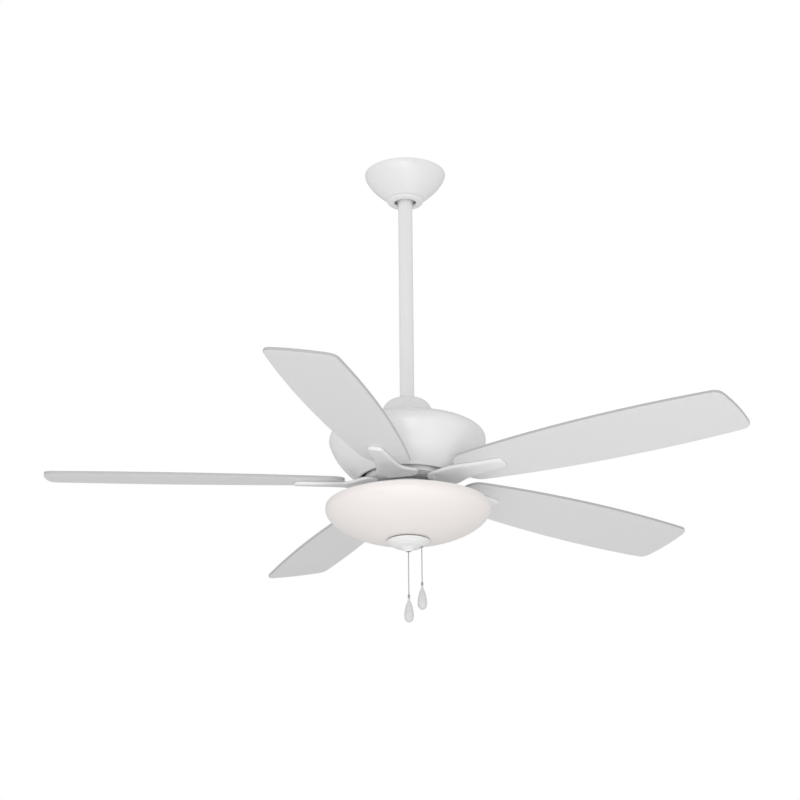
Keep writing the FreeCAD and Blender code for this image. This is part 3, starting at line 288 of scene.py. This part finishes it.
def makeDownrod():
    s = rodSettings
    low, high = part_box("downrod")
    inner = s["radius"] - s["wall"]
    eased = s["radius"] - s["chamfer"]
    outline = [(inner, low.z), (eased, low.z), (s["radius"], low.z + s["chamfer"])]
    for i in range(s["rings"]):
        outline.append((s["radius"], low.z + (high.z - low.z) * (i + 1) / (s["rings"] + 1)))
    outline += [(s["radius"], high.z - s["chamfer"]), (eased, high.z), (inner, high.z), (inner, low.z)]
    bm = bmesh.new()
    spinRun(bm, outline)
    piece = finishPiece("downrodPipe", bm, "white_paint", "fan_body", ["downrod"], levels=0)
    edges = piece.modifiers.new("ends", "BEVEL")
    edges.width = 0.2 * mm
    edges.segments = 2
    edges.limit_method = "ANGLE"


coverSettings = {
    "top": 22.0 * mm,
    "corner": 23.5 * mm,
    "sweep": 64.8,
    "wall": 1.2 * mm,
    "rodGap": 0.9 * mm,
    "collar": 2.6 * mm,
}


def makeCouplingCover():
    s = coverSettings
    low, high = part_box("coupling_cover")
    hole = rodSettings["radius"] + s["rodGap"]
    outline = [(hole, high.z - 2.4 * mm), (hole, high.z - 0.7 * mm), (hole + 0.6 * mm, high.z - 0.1 * mm),
               (hole + s["collar"], high.z - 0.1 * mm), (hole + s["collar"] + 0.5 * mm, high.z - 0.7 * mm)]
    for i in range(9):
        a = math.radians(s["sweep"]) * i / 8
        outline.append((s["top"] + s["corner"] * math.sin(a),
                        high.z - 0.4 * mm - s["corner"] * (1 - math.cos(a))))
    end = outline[-1]
    for t in (0.3, 0.6, 0.9):
        outline.append((end[0] + (high.x - end[0]) * t, end[1] + (low.z - end[1]) * t))
    outline += [(high.x - 0.4 * mm, low.z + 1.0 * mm), (high.x, low.z + 0.5 * mm), (high.x - 0.4 * mm, low.z),
                (high.x - 1.4 * mm, low.z)]
    bm = bmesh.new()
    spinRun(bm, outline)
    finishPiece("couplingCoverDome", bm, "white_paint", "fan_body", ["coupling_cover"], wall=0.8 * mm)


housingSettings = {
    "waistDrop": 34.0 * mm,
    "shoulder": 2.31,
    "bottom": 92.0 * mm,
    "bulge": 10.3 * mm,
    "hole": 14.6 * mm,
    "lip": 5.0 * mm,
    "wall": 1.1 * mm,
    "seamDepth": 0.5 * mm,
    "seamHeight": 1.2 * mm,
}


def makeHousing():
    s = housingSettings
    low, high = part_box("motor_housing")
    waist = high.z - s["waistDrop"]
    outline = [(s["hole"], high.z - 0.02 * mm)]
    for i in range(1, 13):
        a = math.radians(90 * (0.12 + 0.88 * i / 12))
        outline.append((high.x * math.sin(a) ** (2 / s["shoulder"]),
                        waist + s["waistDrop"] * max(math.cos(a), 0.0) ** (2 / s["shoulder"])))
    # a shallow groove where the pressed crown meets the spun lower shell
    seam = high.x - s["seamDepth"]
    outline += [(high.x, waist - 4 * mm), (high.x - 0.1 * mm, waist - 5.0 * mm), (seam, waist - 5.4 * mm),
                (seam, waist - 5.2 * mm - s["seamHeight"]),
                (high.x - 0.2 * mm, waist - 5.6 * mm - s["seamHeight"])]
    for i in range(1, 9):
        t = 0.12 + 0.88 * i / 8
        outline.append((high.x + (s["bottom"] - high.x) * t + 4 * s["bulge"] * t * (1 - t),
                        waist + (low.z - waist) * t))
    rim = outline.pop()[0]
    outline += [(rim + 0.9 * mm, low.z + 1.6 * mm), (rim + 0.3 * mm, low.z + 0.4 * mm),
                (rim - 0.8 * mm, low.z), (rim - s["lip"] + 0.6 * mm, low.z),
                (rim - s["lip"], low.z + 0.5 * mm)]
    bm = bmesh.new()
    spinRun(bm, outline, steps=72)
    finishPiece("motorHousingShell", bm, "white_paint", "fan_body", ["motor_housing"], wall=s["wall"])


bladeSettings = {
    "count": 5,
    "firstAzimuth": 184.8,
    "plane": -616.0 * mm,
    "pitch": 11.8,
    "tip": 660.4 * mm,
    "tipBow": 6.0 * mm,
    "tipCorner": 17.0 * mm,
    "tipWidth": 126.4 * mm,
    "widest": 480.0 * mm,
    "maxWidth": 140.0 * mm,
    "root": 115.0 * mm,
    "rootWidth": 86.0 * mm,
    "rootCorner": 30.0 * mm,
    "cornerReach": 0.8,        # a bevel's reach along each side, as a share of the corner's radius
    "thickness": 6.4 * mm,
    "edge": 1.5 * mm,
    "sweep": 1.5,
    "offset": -4.3 * mm,
    "faceInset": 9.0 * mm,
}


def arcThrough(first, middle, last, count):  # points along the arc through three places
    ax, ay = first
    bx, by = middle
    cx, cy = last
    d = 2 * (ax * (by - cy) + bx * (cy - ay) + cx * (ay - by))
    aa = ax * ax + ay * ay
    bb = bx * bx + by * by
    cc = cx * cx + cy * cy
    ux = (aa * (by - cy) + bb * (cy - ay) + cc * (ay - by)) / d
    uy = (aa * (cx - bx) + bb * (ax - cx) + cc * (bx - ax)) / d
    r = math.hypot(ax - ux, ay - uy)
    start = math.atan2(ay - uy, ax - ux)
    sweep = math.atan2(cy - uy, cx - ux) - start
    sweep = (sweep + math.pi) % (2 * math.pi) - math.pi
    return [(ux + r * math.cos(start + sweep * i / count), uy + r * math.sin(start + sweep * i / count))
            for i in range(count)]


def bladeOutline():
    s = bladeSettings
    shoulder = s["tip"] - s["tipBow"]
    halves = {key: s[key] / 2 for key in ("rootWidth", "maxWidth", "tipWidth")}
    run = arcThrough((s["root"], -halves["rootWidth"]), (s["widest"], -halves["maxWidth"]),
                     (shoulder, -halves["tipWidth"]), 12)
    run += arcThrough((shoulder, -halves["tipWidth"]), (s["tip"], 0), (shoulder, halves["tipWidth"]), 6)
    run += arcThrough((shoulder, halves["tipWidth"]), (s["widest"], halves["maxWidth"]),
                      (s["root"], halves["rootWidth"]), 12)
    return run + [(s["root"], halves["rootWidth"])]


def placeBlade(index):  # blade frame to fan frame
    s = bladeSettings
    azimuth = math.radians(s["firstAzimuth"] + index * 360 / s["count"])
    return (Matrix.Rotation(azimuth, 4, "Z") @ Matrix.Translation((0, 0, s["plane"]))
            @ Matrix.Rotation(-math.radians(s["pitch"]), 4, "X"))


def alongBlade():
    s = bladeSettings
    return Matrix.Translation((0, s["offset"], 0)) @ Matrix.Rotation(-math.radians(s["sweep"]), 4, "Z")


def makeBlade(index):
    s = bladeSettings
    bm = bmesh.new()
    board = bm.faces.new([bm.verts.new((x, y, -s["thickness"] / 2)) for x, y in bladeOutline()])
    corners = sorted(bm.verts, key=lambda v: v.co.x)
    rootCorners = [v for v in corners if abs(v.co.x - s["root"]) < 1e-6]
    tipCorners = [v for v in corners if abs(abs(v.co.y) - s["tipWidth"] / 2) < 1e-6 and v.co.x > s["widest"]]
    for verts, size in ((rootCorners, s["rootCorner"]), (tipCorners, s["tipCorner"])):
        bmesh.ops.bevel(bm, geom=verts, offset=size * s["cornerReach"], affect="VERTICES", segments=8,
                        profile=0.5, material=-1)
    board = max(bm.faces, key=lambda f: f.calc_area())
    raised = bmesh.ops.extrude_face_region(bm, geom=[board])
    bmesh.ops.translate(bm, verts=[v for v in raised["geom"] if isinstance(v, bmesh.types.BMVert)],
                        vec=(0, 0, s["thickness"]))
    bmesh.ops.recalc_face_normals(bm, faces=bm.faces)
    rims = [e for e in bm.edges if len(e.link_faces) == 2 and abs(e.verts[0].co.z - e.verts[1].co.z) < 1e-7
            and any(abs(f.normal.z) > 0.9 for f in e.link_faces)
            and any(abs(f.normal.z) < 0.5 for f in e.link_faces)]
    bmesh.ops.bevel(bm, geom=rims, offset=s["edge"], affect="EDGES", segments=3, profile=0.5, material=-1)
    for inset in (1.0 * mm, s["faceInset"]):
        faces = [f for f in bm.faces if abs(f.normal.z) > 0.999 and f.calc_area() > 0.01]
        bmesh.ops.inset_individual(bm, faces=faces, thickness=inset, use_even_offset=True)
    # flags the board's thin side walls, which take the grey painted shade
    edgeShade = bm.verts.layers.float.new("paintedEdgeShade")
    uv = bm.loops.layers.uv.new("boardUv")
    for v in bm.verts:
        v[edgeShade] = 1.0 if abs(v.co.z) < s["thickness"] / 2 - s["edge"] * 0.45 else 0.0
    for f in bm.faces:
        for loop in f.loops:
            loop[uv].uv = (loop.vert.co.x, loop.vert.co.y + index * 0.3)
    bmesh.ops.transform(bm, matrix=placeBlade(index) @ alongBlade(), verts=bm.verts)
    node = "blade_%d" % (index + 1)
    finishPiece("bladeBoard%d" % (index + 1), bm, "blade_board", "rotor", [node], levels=0)


ironSettings = {
    "depth": 7.0 * mm,
    "footTop": -3.0 * mm,
    "padTop": -3.2 * mm,
    "topEase": 0.8 * mm,
    "lowEase": 3.0 * mm,
    # reach, width, share of the blade's sideways line, share of the pitch, share of the drop to the pad
    "stations": ((54, 44, 0, 0, 0), (57, 56, 0, 0, 0), (64, 68, 0, 0, 0), (73, 75, 0, 0, 0),
                 (82, 75, 0.1, 0.08, 0), (91, 68, 0.35, 0.3, 0.1), (100, 59, 0.6, 0.65, 0.45),
                 (109, 51.5, 0.85, 0.92, 0.85), (118, 46, 1, 1, 1), (135, 41, 1, 1, 1), (155, 36.5, 1, 1, 1),
                 (175, 33, 1, 1, 1), (192, 30.5, 1, 1, 1), (201, 28.5, 1, 1, 1), (205, 24, 1, 1, 1),
                 (207, 17, 1, 1, 1)),
}


def ironLoop(bm, reach, width, side, twist, drop):
    s = ironSettings
    b = bladeSettings
    half = width * mm / 2
    middle = side * (b["offset"] - reach * mm * math.tan(math.radians(b["sweep"])))
    top = s["footTop"] + (s["padTop"] - s["footTop"]) * drop
    low = top - s["depth"]
    ease = min(s["lowEase"], half * 0.5)
    outline = ((-half, top - s["topEase"]), (-half + s["topEase"], top), (0, top), (half - s["topEase"], top),
               (half, top - s["topEase"]), (half, low + ease), (half - ease * 0.3, low + ease * 0.3),
               (half - ease, low), (0, low), (-half + ease, low), (-half + ease * 0.3, low + ease * 0.3),
               (-half, low + ease))
    turn = Matrix.Rotation(-math.radians(b["pitch"]) * twist, 4, "X")
    ring = [bm.verts.new(turn @ Vector((reach * mm, y + middle, z))) for y, z in outline]
    return [bm.edges.new((ring[i], ring[(i + 1) % len(ring)])) for i in range(len(ring))]


def makeIron(index):
    s = ironSettings
    b = bladeSettings
    bm = bmesh.new()
    loops = [ironLoop(bm, *station) for station in s["stations"]]
    for first, second in zip(loops, loops[1:]):
        bmesh.ops.bridge_loops(bm, edges=first + second)
    for end in (loops[0], loops[-1]):
        bmesh.ops.contextual_create(bm, geom=end)
    bmesh.ops.recalc_face_normals(bm, faces=bm.faces)
    azimuth = math.radians(b["firstAzimuth"] + index * 360 / b["count"])
    place = Matrix.Rotation(azimuth, 4, "Z") @ Matrix.Translation((0, 0, b["plane"]))
    bmesh.ops.transform(bm, matrix=place, verts=bm.verts)
    node = "blade_iron_%d" % (index + 1)
    finishPiece("ironCasting%d" % (index + 1), bm, "white_paint", "rotor", [node])


bowlSettings = {
    "hole": 30.0 * mm,
    "fullness": 1.75,
    "straight": 9.0 * mm,
    "wall": 3.6 * mm,
    "rings": 16,
}


def makeBowl():
    s = bowlSettings
    low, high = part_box("glass_bowl")
    depth = high.z - s["straight"] - low.z
    start = math.asin((s["hole"] / high.x) ** (s["fullness"] / 2))
    # low.z is the glass at its hole, a little above the lowest point of the full curve
    full = depth / math.cos(start) ** (2 / s["fullness"])
    outline = []
    for i in range(s["rings"]):
        a = start + (math.pi / 2 - start) * i / (s["rings"] - 1)
        outline.append((high.x * math.sin(a) ** (2 / s["fullness"]),
                        high.z - s["straight"] - full * max(math.cos(a), 0.0) ** (2 / s["fullness"])))
    outline += [(high.x - 0.3 * mm, high.z - s["straight"] * 0.45), (high.x - 0.8 * mm, high.z - 0.8 * mm),
                (high.x - 1.6 * mm, high.z)]
    bm = bmesh.new()
    spinRun(bm, outline, steps=72)
    finishPiece("bowlGlass", bm, "opal_glass", "fan_body", ["glass_bowl"], wall=s["wall"])


hemSettings = {"radius": 1.3 * mm, "inset": 0.6 * mm, "rise": 0.9 * mm, "points": 10}


def makePanHem():  # the pan's lower edge, rolled over
    s = hemSettings
    low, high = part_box("light_pan")
    outline = []
    for i in range(s["points"]):
        a = 2 * math.pi * i / s["points"]
        outline.append((high.x - s["inset"] + s["radius"] * math.cos(a),
                        low.z + s["rise"] + s["radius"] * math.sin(a)))
    bm = bmesh.new()
    spinRun(bm, outline + outline[:1], steps=72)
    finishPiece("panRolledHem", bm, "pan_steel", "fan_body")


capSettings = {
    "wall": 1.1 * mm,
    "pierced": 2.9 * mm,
    # radius and drop shares of the pressed rings, from the rim in to the small boss
    "rings": ((0.985, -0.02), (1.0, 0.03), (0.995, 0.08), (0.97, 0.14), (0.90, 0.20), (0.885, 0.215),
              (0.875, 0.26), (0.82, 0.34), (0.72, 0.43), (0.70, 0.45), (0.69, 0.49), (0.60, 0.55),
              (0.47, 0.61), (0.36, 0.66), (0.335, 0.69), (0.30, 0.76), (0.225, 0.80), (0.205, 0.86),
              (0.17, 0.95), (0.12, 1.0), (0.085, 1.0)),
}


def makeCap():
    s = capSettings
    low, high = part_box("finial_cap")
    depth = high.z - low.z
    bm = bmesh.new()
    spinRun(bm, [(high.x * r, min(high.z - depth * z, high.z)) for r, z in s["rings"]])
    mouth = Vector(joints["speed_swing"]["pos_m"])  # the fan's chain passes here, through its eyelet
    pierced = [f for f in bm.faces if (f.calc_center_median().xy - mouth.xy).length < s["pierced"]]
    bmesh.ops.delete(bm, geom=pierced, context="FACES")
    finishPiece("finialCapDome", bm, "white_paint", "fan_body", ["finial_cap"], wall=s["wall"])


eyeletSettings = {"hole": 1.9 * mm, "width": 1.1 * mm, "rise": 1.0 * mm, "lean": 0.42}


def makeEyelet():  # rolled nickel eyelet where the fan's chain leaves the cap
    s = eyeletSettings
    mouth = joints["speed_swing"]["pos_m"]
    outline = [(s["hole"], s["rise"]), (s["hole"], 0), (s["hole"] + 0.35 * s["width"], -0.5 * s["width"]),
               (s["hole"] + s["width"], 0), (s["hole"] + s["width"], s["rise"]), (s["hole"], s["rise"])]
    bm = bmesh.new()
    spinRun(bm, outline, steps=24)
    lean = Matrix.Translation((mouth[0], 0, mouth[2])) @ Matrix.Rotation(-s["lean"], 4, "Y")
    bmesh.ops.transform(bm, matrix=lean, verts=bm.verts)
    finishPiece("chainEyelet", bm, "chain_nickel", "fan_body")


chainSettings = {
    "bead": 1.2 * mm,
    "pitch": 3.1 * mm,
    "link": 0.42 * mm,
    "steps": 10,
}


def routeCurve(name, points):
    data = bpy.data.curves.new(name, "CURVE")
    data.dimensions = "3D"
    data.resolution_u = 24
    spline = data.splines.new("NURBS")
    spline.points.add(len(points) - 1)
    for place, point in zip(points, spline.points):
        point.co = (*place, 1)
    spline.order_u = 3
    spline.use_endpoint_u = True
    return data


def routePoints(name, points):  # the route as a run of points read from its own spline
    curve = bpy.data.objects.new(name, routeCurve(name, points))
    bpy.context.scene.collection.objects.link(curve)
    bpy.context.view_layer.update()
    mesh = bpy.data.meshes.new_from_object(curve.evaluated_get(bpy.context.evaluated_depsgraph_get()))
    places = [v.co.copy() for v in mesh.vertices]
    bpy.data.objects.remove(curve)
    bpy.data.meshes.remove(mesh)
    return places


def pointAlong(places, distance):
    for a, b in zip(places, places[1:]):
        step = (b - a).length
        if distance <= step:
            return a.lerp(b, distance / step)
        distance -= step
    return places[-1].copy()


def makeChain(name, node, body, start, end):
    s = chainSettings
    top = Vector(start)
    low = Vector(end)
    places = routePoints(name + "Route", [top.lerp(low, t) for t in (0, 0.25, 0.5, 0.75, 1)])
    length = sum((b - a).length for a, b in zip(places, places[1:]))
    bm = bmesh.new()
    full = s["bead"]
    half = [(0, full), (full * 0.62, full * 0.78), (full, full * 0.25)]
    bead = half + [(r, -z) for r, z in reversed(half)]
    count = int(length / s["pitch"])
    for i in range(count + 1):
        centre = pointAlong(places, min(i * length / count, length))
        one = bmesh.new()
        spinRun(one, bead, steps=s["steps"])
        bmesh.ops.translate(one, verts=one.verts, vec=centre)
        mesh = bpy.data.meshes.new("bead")
        one.to_mesh(mesh)
        one.free()
        bm.from_mesh(mesh)
        bpy.data.meshes.remove(mesh)
    link = bmesh.ops.create_cone(bm, cap_ends=True, segments=8, radius1=s["link"], radius2=s["link"],
                                 depth=length)
    bmesh.ops.translate(bm, verts=link["verts"], vec=top.lerp(low, 0.5))
    chain = finishPiece(name, bm, "chain_nickel", body, [node], levels=0)


connectorSettings = {
    # radius and height of the bell that grips the last bead, from its foot up
    "run": ((0.0, 0.0), (1.9, 0.0), (2.3, 0.35), (2.3, 1.0), (1.95, 1.25), (1.95, 1.6), (2.3, 1.9),
            (2.3, 4.2), (2.0, 4.9), (1.5, 5.6), (1.25, 6.3), (0.6, 6.4)),
}


def makeConnector(name, node, body):
    low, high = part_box(node)
    x = (low.x + high.x) / 2
    bm = bmesh.new()
    spinRun(bm, [(r * mm, low.z + z * mm) for r, z in connectorSettings["run"]], x=x, steps=24)
    return finishPiece(name, bm, "chain_nickel", body, [node], levels=1)


fobSettings = {
    # width and drop shares down the moulded drop, from its collar to its foot
    "run": ((0.0, 0.0), (0.17, 0.0), (0.24, 0.015), (0.25, 0.05), (0.20, 0.08), (0.26, 0.12), (0.42, 0.19),
            (0.60, 0.28), (0.78, 0.40), (0.91, 0.52), (0.985, 0.65), (1.0, 0.75), (0.95, 0.85), (0.78, 0.93),
            (0.48, 0.985), (0.18, 1.0), (0.0, 1.0)),
}


def makeFob(name, node, body):
    low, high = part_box(node)
    x = (low.x + high.x) / 2
    radius = (high.x - low.x) / 2
    bm = bmesh.new()
    spinRun(bm, [(radius * r, high.z - (high.z - low.z) * z) for r, z in fobSettings["run"]], x=x, steps=32)
    return finishPiece(name, bm, "fob_white", body, [node], levels=1)


def makePulls():
    for name in ("light", "speed"):
        body = name + "_swing"
        start = joints[body]["pos_m"]
        connector = makeConnector(name + "Connector", name + "_chain_ferrule", body)
        fob = makeFob(name + "Fob", name + "_fob", body)
        end = (start[0], 0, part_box(name + "_chain")[0].z)
        makeChain(name + "BeadChain", name + "_chain", body, start, end)


makeCanopy()
makeCanopyRing()
makeDownrod()
makeCouplingCover()
makeHousing()
print("canopy, rod and housing")
for bladeIndex in range(bladeSettings["count"]):
    makeBlade(bladeIndex)
    makeIron(bladeIndex)
print("blades and irons")
makeBowl()
makePanHem()
makeCap()
makeEyelet()
makePulls()
print("light kit and chains")

cameraSettings = {
    "place": (0.0, -4.033, -1.968),   # metres, in the fan's own frame
    "pitch": 18.5,                    # degrees above level
    "turn": 1.69,                     # degrees to the left of +Y
    "lens": 104.985,
    "sensor": 36.0,
    "shift": (0.0718, 0.1039),
}


def makeCamera():
    data = bpy.data.cameras.new("camera")
    data.lens = cameraSettings["lens"]
    data.sensor_width = cameraSettings["sensor"]
    data.shift_x, data.shift_y = cameraSettings["shift"]
    data.clip_end = 60
    camera = bpy.data.objects.new("camera", data)
    camera.location = cameraSettings["place"]
    pitch = math.radians(90 + cameraSettings["pitch"])
    camera.rotation_euler = (pitch, 0, math.radians(cameraSettings["turn"]))
    bpy.context.scene.collection.objects.link(camera)
    bpy.context.scene.camera = camera


worldSettings = {
    "strength": 0.76,
    # share of the half turn away from the front, and how bright the studio is there
    "levels": ((0.0, 1.0), (0.07, 1.0), (0.11, 0.3), (0.19, 0.3), (0.26, 1.0), (0.6, 0.95), (1.0, 0.75)),
}


def makeWorld():
    # pale all round, with a grey gap at each side of the front that draws an upright band on curved paint
    s = worldSettings
    world = bpy.data.worlds.new("studio")
    bpy.context.scene.world = world
    world.use_nodes = True
    tree = world.node_tree
    tree.nodes.clear()
    place = addNode(tree, "ShaderNodeTexCoord")
    axes = addNode(tree, "ShaderNodeSeparateXYZ", {0: place.outputs["Generated"]})
    front = addNode(tree, "ShaderNodeMath", {0: axes.outputs["Y"], 1: -1.0}, operation="MULTIPLY")
    turn = addNode(tree, "ShaderNodeMath", {0: axes.outputs["X"], 1: front.outputs[0]}, operation="ARCTAN2")
    around = addNode(tree, "ShaderNodeMath", {0: turn.outputs[0]}, operation="ABSOLUTE")
    share = addNode(tree, "ShaderNodeMath", {0: around.outputs[0], 1: math.pi}, operation="DIVIDE")
    levels = addNode(tree, "ShaderNodeValToRGB", {"Fac": share.outputs[0]})
    stops = levels.color_ramp.elements
    while len(stops) < len(s["levels"]):
        stops.new(0.5)
    for stop, (position, level) in zip(stops, s["levels"]):
        stop.position = position
        stop.color = (level, level, level, 1)
    path = addNode(tree, "ShaderNodeLightPath")
    seen = addNode(tree, "ShaderNodeBackground", {"Color": (1, 1, 1, 1), "Strength": 1.0})
    light = addNode(tree, "ShaderNodeBackground", {"Color": levels.outputs[0], "Strength": s["strength"]})
    mix = addNode(tree, "ShaderNodeMixShader", {0: path.outputs["Is Camera Ray"], 1: light.outputs[0],
                                                2: seen.outputs[0]})
    addNode(tree, "ShaderNodeOutputWorld", {"Surface": mix.outputs[0]})
    bpy.context.scene.view_settings.view_transform = "Standard"


lampAim = (0, 0, -0.6)   # between the motor and the bowl
# places and sizes in metres, power in watts
lampSettings = [
    {"name": "keyBox", "place": (-2.1, -3.9, -1.5), "size": 3.0, "power": 30.0},
    {"name": "frontBox", "place": (0.1, -4.3, -1.85), "size": 1.7, "power": 16.0},
    {"name": "lowBox", "place": (0.5, -2.0, -2.35), "size": 2.8, "power": 17.0},
    {"name": "fillBox", "place": (2.6, -3.4, 0.1), "size": 1.8, "power": 5.0},
]


def makeLights():
    target = Vector(lampAim)
    for each in lampSettings:
        data = bpy.data.lights.new(each["name"], "AREA")
        data.shape = "SQUARE"
        data.size = each["size"]
        data.energy = each["power"]
        light = bpy.data.objects.new(each["name"], data)
        light.location = each["place"]
        light.rotation_euler = (target - light.location).to_track_quat("-Z", "Y").to_euler()
        bpy.context.scene.collection.objects.link(light)


floorSettings = {"half": 7.0, "height": -3.6}   # metres


def makeFloor():
    bm = bmesh.new()
    bmesh.ops.create_grid(bm, x_segments=2, y_segments=2, size=floorSettings["half"])
    bmesh.ops.translate(bm, verts=bm.verts, vec=(0, 0, floorSettings["height"]))
    mesh = bpy.data.meshes.new("floor")
    bm.to_mesh(mesh)
    floor = bpy.data.objects.new("floor", mesh)
    bpy.context.scene.collection.objects.link(floor)
    mesh.materials.append(mouldedPlastic("paleFloor", "#F3F3F3", "#F1F1F1", 0.7))


makeCamera()
makeWorld()
makeLights()
makeFloor()
print("camera, light and floor")
